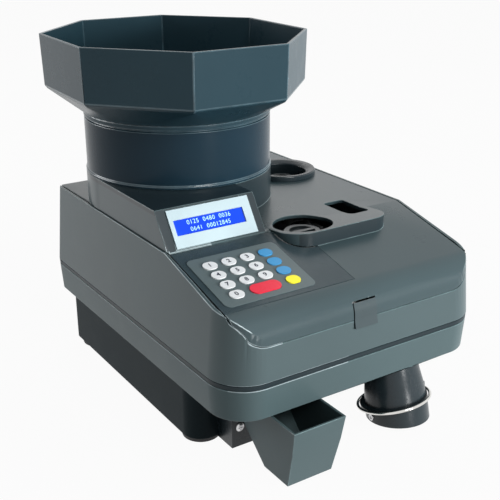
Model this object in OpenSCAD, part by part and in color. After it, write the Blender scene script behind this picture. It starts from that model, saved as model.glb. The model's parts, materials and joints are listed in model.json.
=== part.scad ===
// Desktop coin sorting machine: case with an opening top, octagonal hopper,
// feed disc and coin track, keypad and display, coin tube and reject cup.
// Millimetres, +Z up, front of the machine towards -Y.

/* [Case] */
// Width of the case at the seam between its halves
case_w = 250; // [240:1:270]
// Depth of the case at the seam between its halves
case_d = 320; // [310:1:340]
// Height of the flat top above the base line
top_z = 155; // [150:1:165]
// Height of the seam between the upper and lower halves
seam_z = 82.5; // [80:0.5:86]
// Height of the trim strip in the seam
strip_h = 4.6; // [3:0.2:6]
// Height of the lower edge of the case above the base line
skirt_z = 52.5; // [48:0.5:56]
// Thickness of the moulded walls
wall = 3; // [2.4:0.1:3.6]
// How far the upper walls lean in between the seam and the top
lean_in = 6; // [4:0.5:7]
// How far the lower walls tuck in between the seam and the lower edge
tuck_in = 2.2; // [1:0.2:3]
// Height of the base line above the table
base_line = 1.8; // [1.2:0.1:2.4]
// Plan radius of the front corners
front_r = 32; // [26:1:36]
// Plan radius of the rear corners
rear_r = 12; // [11:0.5:14]

/* [Top cover] */
// Angle of the sloping control area
slope_angle = 14; // [12:0.5:16]
// Distance from the front of the case to the start of the slope
slope_run = 102; // [100:1:106]
// Radius of the roll-over between the slope and the front wall
roll_r = 23; // [20:1:25]
// Thickness of the top cover
cover_t = 2.8; // [2.2:0.1:3.2]
// Width of each side rim outside the top cover
rim_w = 9.3; // [8.6:0.1:11]
// Width of the dark gap between the top cover and the side rims
cover_gap = 1.1; // [0.8:0.1:1.5]
// Gap between the top cover and the wall under its front edge
cover_lift = 0.4; // [0.3:0.1:0.8]
// Radius of the two rear hinge pins
hinge_pin_r = 1.5; // [1.2:0.1:2]
// Angle that the top cover opens to
cover_open = 60; // [40:5:70]

/* [Shelf] */
// Width of the raised shelf
shelf_w = 104; // [101:0.5:107]
// Distance from the case's right side to the shelf
shelf_in = 43.5; // [41:0.5:46]
// Distance from the case's front to the shelf
shelf_back = 67.6; // [66:0.2:70]
// How far the shelf's top tips up towards the front
shelf_rise = 3.6; // [2:0.2:4.2]
// Radius of the shelf's front left corner
shelf_r_left = 22; // [18:1:26]
// Radius of the shelf's front right corner
shelf_r_right = 20; // [16:1:24]
// Radius of the round opening over the diameter knob
dial_hole_r = 25; // [22:0.5:26]
// Size across of the inspection window
window_w = 21; // [18:1:23]
// Length of the inspection window
window_d = 39; // [34:1:42]

/* [Display] */
// Height of the display housing above the flat top
pedestal_h = 28.5; // [26:0.5:30]
// Angle of the display face above level
face_angle = 56; // [52:1:60]
// Distance from the case's left side to the display housing
pedestal_in = 7.6; // [7.4:0.1:8.6]
// Width of the display housing
pedestal_w = 90.4; // [89:0.2:92]
// Width of the white display bezel
bezel_w = 74.5; // [70:0.5:78]
// Height of the white display bezel
bezel_h = 31.4; // [29:0.2:32]
// Thickness of the white display bezel
bezel_t = 1.8; // [1.2:0.1:2.4]
// Width of the blue screen
screen_w = 63; // [58:0.5:66]
// Height of the blue screen
screen_h = 12.6; // [11:0.2:15]

/* [Keypad] */
// Width of the keypad overlay
pad_w = 80; // [78:0.5:83]
// Length of the keypad overlay down the slope
pad_l = 62.4; // [61:0.2:64]
// Width of a number key
key_w = 12; // [11:0.1:12.6]
// Length of a number key down the slope
key_l = 9.2; // [8.6:0.1:9.6]
// Distance between key columns
key_pitch_x = 16.7; // [16:0.1:17]
// Distance between key rows down the slope
key_pitch_y = 12.9; // [12.4:0.1:13.2]
// Height of a key above the overlay
key_proud = 0.7; // [0.5:0.1:1]
// Travel of a key
key_travel = 0.5; // [0.3:0.1:0.6]

/* [Hopper] */
// Distance from the case's left side to the neck's axis
neck_in = 90; // [89:0.5:91]
// Distance from the case's back to the neck's axis
neck_back = 92; // [90:0.5:94]
// Outer radius of the neck
neck_r = 82; // [80:0.5:82.5]
// Wall of the neck
neck_wall = 2.6; // [2:0.1:3.2]
// Height of the neck's upper seam above the base line
neck_top_z = 232.5; // [228:0.5:236]
// Height of the hopper's round collar
collar_h = 4; // [3:0.5:6]
// Height of the lower edge of the hopper's flat walls above the base line
bowl_z = 257; // [254:1:262]
// Height of the hopper's rim above the base line
rim_z = 301; // [295:1:310]
// Width of the hopper
hopper_w = 210; // [204:1:216]
// Depth of the hopper
hopper_d = 230; // [224:1:236]
// Turn of the hopper on its round collar, seen from above
hopper_turn = -2.4; // [-4:0.2:4]
// Cut-off of the hopper's corners, along its width
chamfer_x = 62.8; // [58:0.2:66]
// Cut-off of the hopper's corners, along its depth
chamfer_y = 67.7; // [62:0.1:72]
// Wall of the hopper
hopper_wall = 2.6; // [2.2:0.1:3.2]

/* [Foot] */
// How far the foot stands in from the case's sides
foot_in = 9; // [8:0.5:12]
// How far the foot stands in from the case's front
foot_in_front = 70; // [66:1:72]
// How far the foot stands in from the case's back
foot_in_back = 16; // [12:1:20]
// Plan radius of the foot's front corners
foot_r = 17; // [14:1:22]
// Height of the foot's underside above the base line
pad_h = 1.6; // [1.2:0.1:2.4]

/* [Outlets] */
// Distance from the case's left side to the reject cup's rim
cup_in = 37.6; // [36:0.2:39]
// Width of the reject cup's rim
cup_w = 47; // [44:0.5:49]
// How far the reject cup reaches out in front of the case
cup_reach = 26; // [20:1:32]
// Height of the reject cup's underside above the base line
cup_low = 0.8; // [0.6:0.1:1.2]
// Wall of the reject cup
cup_wall = 2; // [1.6:0.1:2.4]
// Distance from the case's right side to the coin tube's axis
tube_in = 77; // [74:0.5:79]
// Height of the coin tube's mouth above the base line
tube_mouth_z = 3.2; // [3:0.2:6]
// Outer radius of the coin tube's mouth
tube_mouth_r = 26.2; // [25:0.2:27]
// Outer radius of the coin tube where it leaves the case
tube_neck_r = 22; // [21:0.2:23]
// Angle that the coin tube leans forward
tube_lean = 14.6; // [12:0.2:16]
// Diameter of the bag ring's wire
ring_wire = 2.6; // [2.2:0.1:3]
// Radius of the bag ring at the middle of its wire
ring_r = 30.2; // [29.8:0.1:31]

/* [Coin track] */
// Height of the deck's upper face above the base line
deck_z = 104; // [102:0.5:106]
// Thickness of the deck
deck_t = 2.5; // [2:0.1:3]
// Radius of the feed disc
disc_r = 74; // [70:0.5:74.5]
// Radius of the feed shaft
shaft_r = 6; // [5:0.5:7]
// Radius of the large pulley under the feed disc
disc_pulley_r = 30; // [26:1:32]
// Radius of the pulley on the motor
motor_pulley_r = 10; // [9:0.5:12]
// Distance from the case's right side to the motor's axis
motor_in = 63; // [60:1:66]
// Radius of the adjusting knobs
knob_r = 16; // [14:0.5:18]
// Pitch radius of the pinion under the diameter knob
pinion_r = 5; // [4.5:0.25:6]
// Number of pinion teeth
pinion_teeth = 10; // [9:1:12]
// Radius of the transport wheel
wheel_r = 13; // [11:0.5:14]

/* [Hidden] */
$fn = 64;
KEYS = ["key_1", "key_2", "key_3", "key_blue_top", "key_4", "key_5", "key_6", "key_blue_middle",
        "key_7", "key_8", "key_9", "key_blue_bottom", "key_0", "key_red", "key_yellow"];

// Clearances
fit_gap = 0.3;          // between pieces that only lie beside each other
run_gap = 0.05;         // between a shaft and its bore
eps = 0.01;
far = 400;

// The origin is the middle of the part's bounding box on the table
function turned(p) = [p.x * cos(hopper_turn) - p.y * sin(hopper_turn),
                      p.x * sin(hopper_turn) + p.y * cos(hopper_turn)];
rim_corners = [for (p = octagon(0)) turned(p)];
foot_w = case_w - 2 * foot_in;
foot_front = case_d / 2 - foot_in_front;
foot_back = case_d / 2 - foot_in_back;
cup_front = case_d / 2 + cup_reach;
neck_x = neck_in - case_w / 2;
neck_y = case_d / 2 - neck_back;
x_min = neck_x + min([for (p = rim_corners) p.x]);
x_max = case_w / 2;
y_min = -cup_front;
y_max = neck_y + max([for (p = rim_corners) p.y]);
module home() translate([-(x_min + x_max) / 2, -(y_min + y_max) / 2, base_line]) children();

// How far a wall stands in from its size at the seam
function lean(z) = z >= seam_z ? lean_in * (z - seam_z) / (top_z - seam_z)
                               : tuck_in * (seam_z - z) / (seam_z - skirt_z);

// Section of the top: flat, slope and roll-over
// The roll-over is tangent to the slope, and to the front wall at the height of its axis
slope_y = slope_run - case_d / 2;
lean_rate = lean_in / (top_z - seam_z);
slope_rate = tan(slope_angle);
roll_z = (top_z - slope_y * slope_rate - roll_r / cos(slope_angle)
          + slope_rate * (roll_r - case_d / 2 - lean_rate * seam_z)) / (1 - slope_rate * lean_rate);
roll_y = roll_r - case_d / 2 + lean(roll_z);
// The cover's front edge lies a little below the roll-over
crease_drop = 2.2;
crease_z = roll_z - crease_drop;
crease_r = 28;
cover_half_w = case_w / 2 - rim_w;
left = -case_w / 2;
right = case_w / 2;
front = -case_d / 2;
back = case_d / 2;

case_shade = [0.30, 0.33, 0.34];
dark_shade = [0.16, 0.19, 0.21];
steel_shade = [0.72, 0.73, 0.74];
brass_shade = [0.75, 0.62, 0.35];
rubber_shade = [0.08, 0.08, 0.08];

// ---------------------------------------------------------------- shared shapes

// A leaning block with the plan of the case, from z0 to z1, inset all round
module case_block(z0, z1, inset = 0)
    hull() for (side = [-1, 1], end = [-1, 1]) {
        r = end < 0 ? front_r : rear_r;
        translate([side * (case_w / 2 - r), end * (case_d / 2 - r), z0])
            cylinder(h = z1 - z0, r1 = r - inset - lean(z0), r2 = r - inset - lean(z1), $fn = 48);
    }

// Everything below the top surface, lowered square to it by drop
module under_roof(drop = 0, ledge = 0) {
    r = roll_r - drop;
    steps = 12;
    arc = [for (i = [0:steps]) let (a = 90 + slope_angle + i * (90 - slope_angle) / steps)
           [roll_y + r * cos(a), roll_z + r * sin(a)]];
    // Outside, the last chord runs on through the front wall
    low = drop > 0 ? arc[steps] : arc[steps - 1] + (arc[steps - 1] - arc[steps - 2]);
    rotate([90, 0, 90]) linear_extrude(case_w + 40, center = true)
        polygon(concat([[far, 0], [far, top_z - drop],
                        [slope_y + drop * tan(slope_angle / 2), top_z - drop]],
                       [for (i = [0:steps - 1]) arc[i]],
                       [low, [low.x, roll_z - ledge], [-far, roll_z - ledge], [-far, 0]]));
}

// A box with rounded upright edges: front corners and back corners
module rounded_box(x0, x1, y0, y1, z0, z1, r_front, r_back)
    hull() for (c = [[x0, y0, r_front], [x1, y0, r_front], [x0, y1, r_back], [x1, y1, r_back]])
        translate([c.x + (c.x == x0 ? c.z : -c.z), c.y + (c.y == y0 ? c.z : -c.z), z0])
            cylinder(h = z1 - z0, r = c.z, $fn = 32);

module slab(x0, x1, y0, y1, z0, z1) translate([x0, y0, z0]) cube([x1 - x0, y1 - y0, z1 - z0]);

module at(x, y, z = 0) translate([x, y, z]) children();

// Local frame on the slope: y runs up the slope, z points out of it
module on_slope() translate([0, slope_y, top_z]) rotate([slope_angle, 0, 0]) children();

// Local frame on the display face: y runs up the face, z points out of it
face_y = slope_y - 2;
module on_face() translate([0, face_y, top_z - 0.5]) rotate([face_angle, 0, 0]) children();

// ---------------------------------------------------------------- foot and lower case

foot_wall = 3;
module base_chassis() color(case_shade) home() difference() {
    rounded_box(-foot_w / 2, foot_w / 2, -foot_front, foot_back, pad_h, skirt_z, foot_r, 6);
    rounded_box(-foot_w / 2 + foot_wall, foot_w / 2 - foot_wall, -foot_front + foot_wall,
                foot_back - foot_wall, pad_h + foot_wall, skirt_z + 1, foot_r - foot_wall, 3);
    // openings for the mains inlet and the switch in the rear wall
    slab(inlet_x - inlet_w / 2, inlet_x + inlet_w / 2, foot_back - foot_wall - 1, foot_back + 1,
         inlet_z - inlet_h / 2, inlet_z + inlet_h / 2);
    slab(switch_x - switch_w / 2, switch_x + switch_w / 2, foot_back - foot_wall - 1,
         foot_back + 1, inlet_z - inlet_h / 2, inlet_z + inlet_h / 2);
    // cooling slots in the rear wall
    for (i = [0:6]) slab(left + 95 + i * 9, left + 98 + i * 9, foot_back - foot_wall - 1, foot_back + 1, 18, 40);
    // hole for rejected coins into the chute
    slab(chute_left + 6, chute_right - 6, -foot_front - 1, -foot_front + foot_wall + 1, 27, 49);
}

// Rubber feet under the rounded corners
foot_pad_in = foot_r;
foot_pad_r = foot_r - 0.6;
module rubber_feet() color(rubber_shade) home()
    for (x = [-foot_w / 2 + foot_pad_in, foot_w / 2 - foot_pad_in],
         y = [-foot_front + foot_pad_in, foot_back - foot_pad_in])
        at(x, y, -base_line) cylinder(h = pad_h + base_line, r1 = foot_pad_r - 0.8, r2 = foot_pad_r);

module lower_cover() color(case_shade) home() difference() {
    case_block(skirt_z, seam_z - strip_h);
    case_block(skirt_z + wall, seam_z - strip_h + 1, wall);
    // open middle over the foot
    rounded_box(-foot_w / 2 + 12, foot_w / 2 - 12, -foot_front + 12, foot_back - 12,
                skirt_z - 1, skirt_z + wall + 1, 8, 8);
    // the coin tube passes through the floor
    tube_axis() cylinder(h = 120, r = tube_neck_r + 0.8);
}

module seam_strip() color(dark_shade) home() difference() {
    union() {
        case_block(seam_z - strip_h, seam_z, 0.9);
        case_block(seam_z - strip_h + 0.6, seam_z - 0.6, 0.15);
    }
    case_block(seam_z - strip_h - 1, seam_z + 1, wall);
}

// ---------------------------------------------------------------- upper case

rim_x = cover_half_w + cover_gap;
hinge_y = case_d / 2 - lean(top_z - 4) + 3.3;
hinge_z = top_z - 4.2;
hinge_x = case_w / 2 - 55;
knuckle_r = 2.9;
knuckle_w = 8;
lid_knuckle_w = 12;

module hinge_knuckle(x, w, to_y) at(x - w / 2, hinge_y, hinge_z) {
    rotate([0, 90, 0]) cylinder(h = w, r = knuckle_r, $fn = 40);
    slab(0, w, to_y - hinge_y, 0, -knuckle_r, 0);
}

// The cover's outline seen from the front, from its lower edge z up, with its corners rounded
module front_outline(half, z) rotate([90, 0, 0]) linear_extrude(2 * far, center = true) {
    for (s = [-1, 1]) translate([s * (half - crease_r), z + crease_r]) circle(crease_r, $fn = 96);
    translate([crease_r - half, z]) square([2 * (half - crease_r), far]);
    translate([-half, z + crease_r]) square([2 * half, far]);
}

module side_shell() color(case_shade) home() difference() {
    union() {
        intersection() {
            difference() {
                case_block(seam_z, top_z);
                case_block(seam_z - 1, top_z + 1, wall);
            }
            under_roof();
        }
        for (side = [-1, 1], ear = [-1, 1])
            hinge_knuckle(side * hinge_x + ear * (lid_knuckle_w / 2 + fit_gap + knuckle_w / 2),
                          knuckle_w, case_d / 2 - lean(top_z - 10) - 1);
    }
    // the opening under the top cover
    difference() {
        intersection() {
            slab(-far, far, -far, hinge_y - 3.2, 0, top_z + 1);
            front_outline(rim_x, crease_z - cover_lift);
        }
        under_roof(cover_t + cover_lift, crease_drop + cover_lift);
    }
    // room for the cover's own hinge knuckles
    for (side = [-1, 1])
        slab(side * hinge_x - lid_knuckle_w / 2 - fit_gap, side * hinge_x + lid_knuckle_w / 2 + fit_gap,
             hinge_y - 6.4, far, hinge_z - knuckle_r - 0.6, top_z + 1);
    for (side = [-1, 1]) at(side * hinge_x - 20, hinge_y, hinge_z)
        rotate([0, 90, 0]) cylinder(h = 40, r = hinge_pin_r, $fn = 40);
    latch_window();
}

module hinge_pins() color(steel_shade) home()
    for (side = [-1, 1]) at(side * hinge_x - 14.3, hinge_y, hinge_z)
        rotate([0, 90, 0]) cylinder(h = 28.6, r = hinge_pin_r, $fn = 40);

// ---------------------------------------------------------------- top cover

throat_r = 79;
throat_z = deck_z + 20;
pedestal_z = top_z + pedestal_h;
shelf_right = right - shelf_in;
shelf_left = shelf_right - shelf_w;
shelf_y = front + shelf_back;
dial_x = shelf_left + 29.5;
dial_y = slope_y - 6;
window_x = shelf_right - 16;
window_y = slope_y + 9.3;
// The thickness knob's ring fills the room between the neck and the right rim
ring_room = (cover_half_w - neck_x - neck_r - 0.8) / 2;
bezel_x = cover_half_w - ring_room - 0.75;
bezel_y = neck_y + 4;
ring_outer_r = ring_room - 0.95;
ring_well_r = ring_outer_r - 6.8;
ring_h = 5.2;
pedestal_left = left + pedestal_in;
pedestal_right = pedestal_left + pedestal_w;

// The shelf's block, its top tipping up from the flat towards the front
shelf_end = slope_y + 3;
module shelf_block(inset, drop) intersection() {
    reach = shelf_end + (inset > 0 ? 1.6 : 1);
    at(0, 0, 138) linear_extrude(60) hull() {
        translate([shelf_left + shelf_r_left, shelf_y + shelf_r_left]) circle(shelf_r_left - inset, $fn = 96);
        translate([shelf_right - shelf_r_right, shelf_y + shelf_r_right]) circle(shelf_r_right - inset, $fn = 96);
        translate([shelf_left + inset, reach - 1]) square([shelf_w - 2 * inset, 1]);
    }
    at(0, shelf_end, top_z - drop) rotate([-atan(shelf_rise / (shelf_end - shelf_y)), 0, 0])
        slab(-far, far, -far, 0, -60, 0);
}

// Plan of the display housing and the seat of the neck
module pedestal_plan(inset) {
    at(neck_x, neck_y) circle(neck_r + 0.8 - inset, $fn = 128);
    translate([pedestal_left + inset, face_y - 6 + inset])
        square([pedestal_right - pedestal_left - 2 * inset, neck_y - face_y + 6 - inset]);
}

module pedestal_body(inset) difference() {
    union() {
        at(0, 0, top_z + 0.4) linear_extrude(pedestal_h - 0.4 - inset) pedestal_plan(inset);
        intersection() {
            at(0, 0, top_z - 8) linear_extrude(9) pedestal_plan(inset);
            slab(-cover_half_w + 0.3 + inset, cover_half_w, -far, far, 0, far);
        }
    }
    on_face() at(-far / 2, -80, -inset) cube([far, 160, 80]);
}

module roof_sheet() difference() {
    intersection() {
        case_block(crease_z, top_z);
        slab(-far, far, -far, hinge_y - 3.4, crease_z, top_z);
        front_outline(cover_half_w, crease_z);
    }
    under_roof(cover_t, crease_drop);
}

module top_cover() color(case_shade) home() difference() {
    union() {
        intersection() { roof_sheet(); under_roof(); }
        shelf_block(0, 0);
        pedestal_body(0);
        at(neck_x, neck_y, throat_z) cylinder(h = pedestal_z - throat_z, r = throat_r, $fn = 128);
        for (side = [-1, 1]) slab(side * (cover_half_w - 1.5) - 1.2, side * (cover_half_w - 1.5) + 1.2,
                                  slope_y + 4, case_d / 2 - 24, top_z - cover_t - 7, top_z - 1);
        for (side = [-1, 1]) hinge_knuckle(side * hinge_x, lid_knuckle_w, hinge_y - 6);
        for (side = [-1, 1]) slab(side * hinge_x - lid_knuckle_w / 2, side * hinge_x + lid_knuckle_w / 2,
                                  hinge_y - 9, hinge_y, top_z - cover_t - 0.3, top_z);
    }
    // hollow shelf
    shelf_block(cover_t, cover_t);
    // hollow display housing
    difference() {
        intersection() { pedestal_body(cover_t); slab(-far, far, -far, far, 0, pedestal_z - cover_t); }
        at(neck_x, neck_y, 0) cylinder(h = far, r = throat_r, $fn = 128);
    }
    // throat for the coins, and the seat of the neck above it
    at(neck_x, neck_y, 0) cylinder(h = far, r = throat_r - cover_t, $fn = 128);
    // openings in the shelf
    at(dial_x, dial_y, 120) linear_extrude(60)
        polygon([for (a = [0:3.75:359]) dial_hole_r * [cos(a + 1), sin(a + 1)]]);
    rounded_box(window_x - window_w / 2, window_x + window_w / 2, window_y - window_d / 2,
                window_y + window_d / 2, 120, 180, 5, 3);
    at(bezel_x, bezel_y, 120) cylinder(h = 60, r = ring_well_r);
    // screen window, recess of the bezel, recess of the control panel, window under the keys
    on_face() slab(screen_mid - screen_w / 2 - 3, screen_mid + screen_w / 2 + 3, screen_low - 3,
                   screen_low + screen_h + 3, -8, 8);
    on_face() slab(bezel_left - fit_gap, bezel_left + bezel_w + fit_gap, bezel_low - fit_gap,
                   bezel_low + bezel_h + fit_gap, -0.8, 8);
    on_slope() slab(-far, panel_right + 0.25, panel_end - 0.25, panel_start, -panel_t, 0.5 + eps);
    on_slope() slab(pad_left + 4, pad_left + pad_w - 4, pad_end + 4, pad_end + pad_l - 4, -8, 4);
    for (side = [-1, 1]) at(side * hinge_x - 20, hinge_y, hinge_z)
        rotate([0, 90, 0]) cylinder(h = 40, r = hinge_pin_r + run_gap, $fn = 40);
    latch_window();
    at(latch_left - 3, latch_pivot.x, latch_pivot.y) rotate([0, 90, 0])
        cylinder(h = latch_w + 6, r = latch_pin_r + run_gap, $fn = 32);
}

module knob_bezel() color(dark_shade) home() at(bezel_x, bezel_y, top_z) rotate_extrude($fn = 128)
    polygon([[ring_well_r - 2.6, -12], [ring_well_r - 0.4, -12], [ring_well_r - 0.4, 0], [ring_outer_r, 0],
             [ring_outer_r, ring_h - 1], [ring_outer_r - 0.8, ring_h], [ring_outer_r - 3.6, ring_h],
             [ring_well_r - 1.6, ring_h - 2.4], [ring_well_r - 2.6, ring_h - 3.4]]);

// ---------------------------------------------------------------- latch

latch_left = -12.4;
latch_w = 21.6;
latch_top_a = 27.5;
latch_fold = 1.8;
latch_low = 9;
latch_lip = 1.6;
latch_t = 2.6;
latch_proud = 0.7;
latch_pin_r = 0.9;
latch_axis_r = roll_r - 1.4;
latch_pivot = [roll_y - latch_axis_r * cos(latch_top_a - 5), roll_z + latch_axis_r * sin(latch_top_a - 5)];

module latch_window() slab(latch_left - fit_gap, latch_left + latch_w + fit_gap, -far / 2, roll_y,
                           roll_z - latch_low - fit_gap, roll_z + roll_r * sin(latch_top_a + 3));

module front_latch() color(dark_shade) home() {
    outer = roll_r + latch_proud;
    inner = outer - latch_t;
    steps = 6;
    arc = function (r) [for (i = [0:steps]) let (a = 180 - latch_top_a + i * latch_top_a / steps)
                        [roll_y + r * cos(a), roll_z + r * sin(a)]];
    low = [[roll_y - outer, roll_z - latch_fold], [roll_y - outer - latch_lip, roll_z - latch_low],
           [roll_y - inner - latch_lip, roll_z - latch_low], [roll_y - inner, roll_z - latch_fold]];
    back = [for (i = [steps:-1:0]) arc(inner)[i]];
    at(latch_left, 0, 0) rotate([90, 0, 90]) linear_extrude(latch_w) polygon(concat(arc(outer), low, back));
    at(latch_left - fit_gap - 2, latch_pivot.x, latch_pivot.y) rotate([0, 90, 0])
        cylinder(h = latch_w + 2 * fit_gap + 4, r = latch_pin_r, $fn = 32);
}

// ---------------------------------------------------------------- control panel and keys

panel_t = 1.6;
panel_start = -3;
panel_end = -84;
panel_right = left + 126;
pad_left = left + 14.5;
pad_end = -79.1;
overlay_t = 0.5;
first_key_x = left + 29.6;
first_key_y = -28.9;

// Column and width in columns of each key, row by row
function key_place(i) = i < 12 ? [i % 4, floor(i / 4), 1]
                      : i == 12 ? [0, 3, 1] : i == 13 ? [1.5, 3, 2] : [3, 3, 1];
function key_x(i) = first_key_x + key_pitch_x * key_place(i).x;
function key_y(i) = first_key_y - key_pitch_y * key_place(i).y;
function key_half(i) = key_place(i).z == 2 ? [(key_w + 14.4) / 2, (key_l + 2) / 2] : [key_w / 2, key_l / 2];

// An oval of true arcs: a square with a circle at each end
module oval(half, grow = 0) {
    r = half.y + grow;
    d = half.x - half.y;
    for (s = [-1, 1]) translate([s * d, 0]) circle(r, $fn = 40);
    square([2 * d, 2 * r], center = true);
}

module key_holes(depth) for (i = [0:len(KEYS) - 1])
    at(key_x(i), key_y(i), -depth) linear_extrude(depth + 2) oval(key_half(i), 0.25);

module control_panel() color(dark_shade) home() difference() {
    on_slope() slab(-cover_half_w, panel_right, panel_end, panel_start - fit_gap, -panel_t, 0);
    shelf_block(-fit_gap, -1);
    on_slope() key_holes(panel_t + 1);
}

module keypad_overlay() color([0.46, 0.47, 0.49]) home() on_slope() difference() {
    linear_extrude(overlay_t) translate([pad_left + 5, pad_end + 5]) offset(5, $fn = 32)
        square([pad_w - 10, pad_l - 10]);
    key_holes(1);
}

function key_shade(i) = i == 13 ? [0.85, 0.1, 0.15] : i == 14 ? [0.95, 0.9, 0.1]
                      : i < 12 && i % 4 == 3 ? [0.2, 0.55, 0.85] : [0.95, 0.95, 0.95];
key_flange = 0.8;
module key_cap(i) color(key_shade(i)) home() on_slope() at(key_x(i), key_y(i), 0) {
    at(0, 0, -panel_t - 0.2) linear_extrude(panel_t + 0.2 + overlay_t + key_proud) oval(key_half(i));
    at(0, 0, -panel_t - 1) linear_extrude(0.8) oval(key_half(i), key_flange);
}

// Circuit board of the keypad, on a frame under the sheet
module keypad_board() color([0.1, 0.35, 0.18]) home() difference() {
    on_slope() difference() {
        slab(pad_left + 1, pad_left + pad_w - 1, pad_end + 1, pad_end + pad_l - 1, -cover_t - 2.4,
             -cover_t - 0.02);
        slab(pad_left + 4, pad_left + pad_w - 4, pad_end + 4, pad_end + pad_l - 4, -cover_t - 0.8, 0);
    }
    shelf_block(-fit_gap, -1);
}

bezel_left = left + 16.4;
bezel_low = 1.6;
screen_mid = left + 51.7;
screen_low = 11.6;
module display_bezel() color([0.93, 0.95, 0.96]) home() on_face() difference() {
    slab(bezel_left, bezel_left + bezel_w, bezel_low, bezel_low + bezel_h, -0.8, bezel_t - 0.8);
    slab(screen_mid - screen_w / 2, screen_mid + screen_w / 2, screen_low, screen_low + screen_h, -2, 2);
}

module lcd_panel() color([0.1, 0.2, 0.9]) home() on_face() {
    slab(screen_mid - screen_w / 2 - 2.7, screen_mid + screen_w / 2 + 2.7, screen_low - 2.7,
         screen_low + screen_h + 2.7, -3.8, -0.8);
    slab(screen_mid - screen_w / 2 + 0.2, screen_mid + screen_w / 2 - 0.2, screen_low + 0.2,
         screen_low + screen_h - 0.2, -0.8, -0.2);
}

// ---------------------------------------------------------------- neck and hopper

neck_spigot = 6;
module hopper_neck() color(case_shade) home() at(neck_x, neck_y, 0) rotate_extrude($fn = 128)
    polygon([[neck_r - neck_wall, pedestal_z], [neck_r + 0.9, pedestal_z], [neck_r + 0.9, pedestal_z + 2],
             [neck_r, pedestal_z + 3], [neck_r, neck_top_z - 1.8], [neck_r - 1.6, neck_top_z - 1.2],
             [neck_r - 1.6, neck_top_z], [neck_r - neck_wall, neck_top_z]]);

// Plan of the hopper, with its corners cut off
function octagon(inset) = let (a = hopper_w / 2 - inset, b = hopper_d / 2 - inset,
                               p = a - chamfer_x + inset * 0.58, q = b - chamfer_y + inset * 0.58)
    [[a, q], [p, b], [-p, b], [-a, q], [-a, -q], [-p, -b], [p, -b], [a, -q]];
module hopper_plan(inset) translate([neck_x, neck_y]) rotate(hopper_turn) polygon(octagon(inset));

collar_r = neck_r + 0.3;
collar_z = neck_top_z + collar_h;
module bowl_floor(inset, drop) hull() {
    at(0, 0, bowl_z - drop) linear_extrude(eps) hopper_plan(inset + 1.2);
    at(0, 0, bowl_z - 2.5 - drop) linear_extrude(eps) hopper_plan(inset + 3);
    at(neck_x, neck_y, collar_z - drop) cylinder(h = eps, r = collar_r - inset, $fn = 64);
}

module hopper() color(case_shade) home() difference() {
    union() {
        hull() {
            at(0, 0, bowl_z - eps) linear_extrude(eps) hopper_plan(1.2);
            at(0, 0, rim_z - eps) linear_extrude(eps) hopper_plan(0);
        }
        bowl_floor(0, 0);
        at(neck_x, neck_y, neck_top_z) cylinder(h = collar_h, r = collar_r, $fn = 128);
        at(neck_x, neck_y, neck_top_z - neck_spigot)
            cylinder(h = neck_spigot + 1, r = neck_r - neck_wall - 0.2, $fn = 128);
    }
    hull() {
        at(0, 0, bowl_z) linear_extrude(eps) hopper_plan(hopper_wall + 1.2);
        at(0, 0, rim_z + eps) linear_extrude(eps) hopper_plan(hopper_wall);
    }
    bowl_floor(hopper_wall, -eps);
    at(neck_x, neck_y, neck_top_z - neck_spigot - 1)
        cylinder(h = collar_z - neck_top_z + neck_spigot + 2, r = neck_r - neck_wall - 2.6, $fn = 128);
}

// ---------------------------------------------------------------- coin track

deck_front = case_d / 2 - 28;
deck_half_w = case_w / 2 - 17;
module deck_plate() color(steel_shade) home() difference() {
    slab(-deck_half_w, deck_half_w, -deck_front, back - 20, deck_z - deck_t, deck_z);
    at(neck_x, neck_y, deck_z - 10) cylinder(h = 20, r = shaft_r + 2);
    at(dial_x, dial_y, deck_z - 10) cylinder(h = 20, r = dial_shaft_r + run_gap);
    at(bezel_x, bezel_y, deck_z - 10) cylinder(h = 20, r = dial_shaft_r + run_gap);
    at(gate_x, gate_y, deck_z - 10) cylinder(h = 20, r = gate_pin_r + run_gap);
    tube_axis() cylinder(h = 200, r = tube_top_r - 2);
    slab(left + 49, left + 75, front + 42, front + 64, deck_z - 10, deck_z + 10);
}

module deck_posts() color(brass_shade) home()
    for (side = [-1, 1], y = [front + 42, back - 32])
        at(side * (deck_half_w - 6), y, skirt_z + wall) cylinder(h = deck_z - deck_t - skirt_z - wall, r = 4, $fn = 32);

pan_r = disc_r + 2;
pan_h = 15;
module feed_pan() color(dark_shade) home() difference() {
    at(neck_x, neck_y, deck_z) cylinder(h = pan_h, r = pan_r + 3, $fn = 128);
    at(neck_x, neck_y, deck_z - 1) cylinder(h = pan_h + 2, r = pan_r, $fn = 128);
    // way out for the coins, towards the track
    slab(neck_x + 30, track_right, neck_y - 90, neck_y - 20, deck_z - 1, deck_z + 8);
}

track_right = right - 59;
rail_t = 3;
wheel_y = slope_y + 52;
wheel_x = track_right - 16;
wheel_z = deck_z + 2.6 + wheel_r;
axle_r = 2;
module fixed_rail() color(steel_shade) home() difference() {
    union() {
        slab(track_right, track_right + rail_t, front + 44, wheel_y + 46, deck_z, deck_z + 6);
        slab(track_right, track_right + rail_t, wheel_y - 6, wheel_y + 6, deck_z, wheel_z + 6);
        slab(track_right, track_right + 14, front + 48, wheel_y + 42, deck_z, deck_z + 2);
    }
    at(track_right - 5, wheel_y, wheel_z) rotate([0, 90, 0]) cylinder(h = 20, r = axle_r + run_gap, $fn = 32);
}

module transport_wheel() color(rubber_shade) home() {
    at(wheel_x - 5, wheel_y, wheel_z) rotate([0, 90, 0]) {
        cylinder(h = 10, r = wheel_r);
        at(0, 0, -3) cylinder(h = 16, r = 5, $fn = 32);
        cylinder(h = track_right + rail_t + 3 - wheel_x + 5, r = axle_r, $fn = 32);
    }
}

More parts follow.
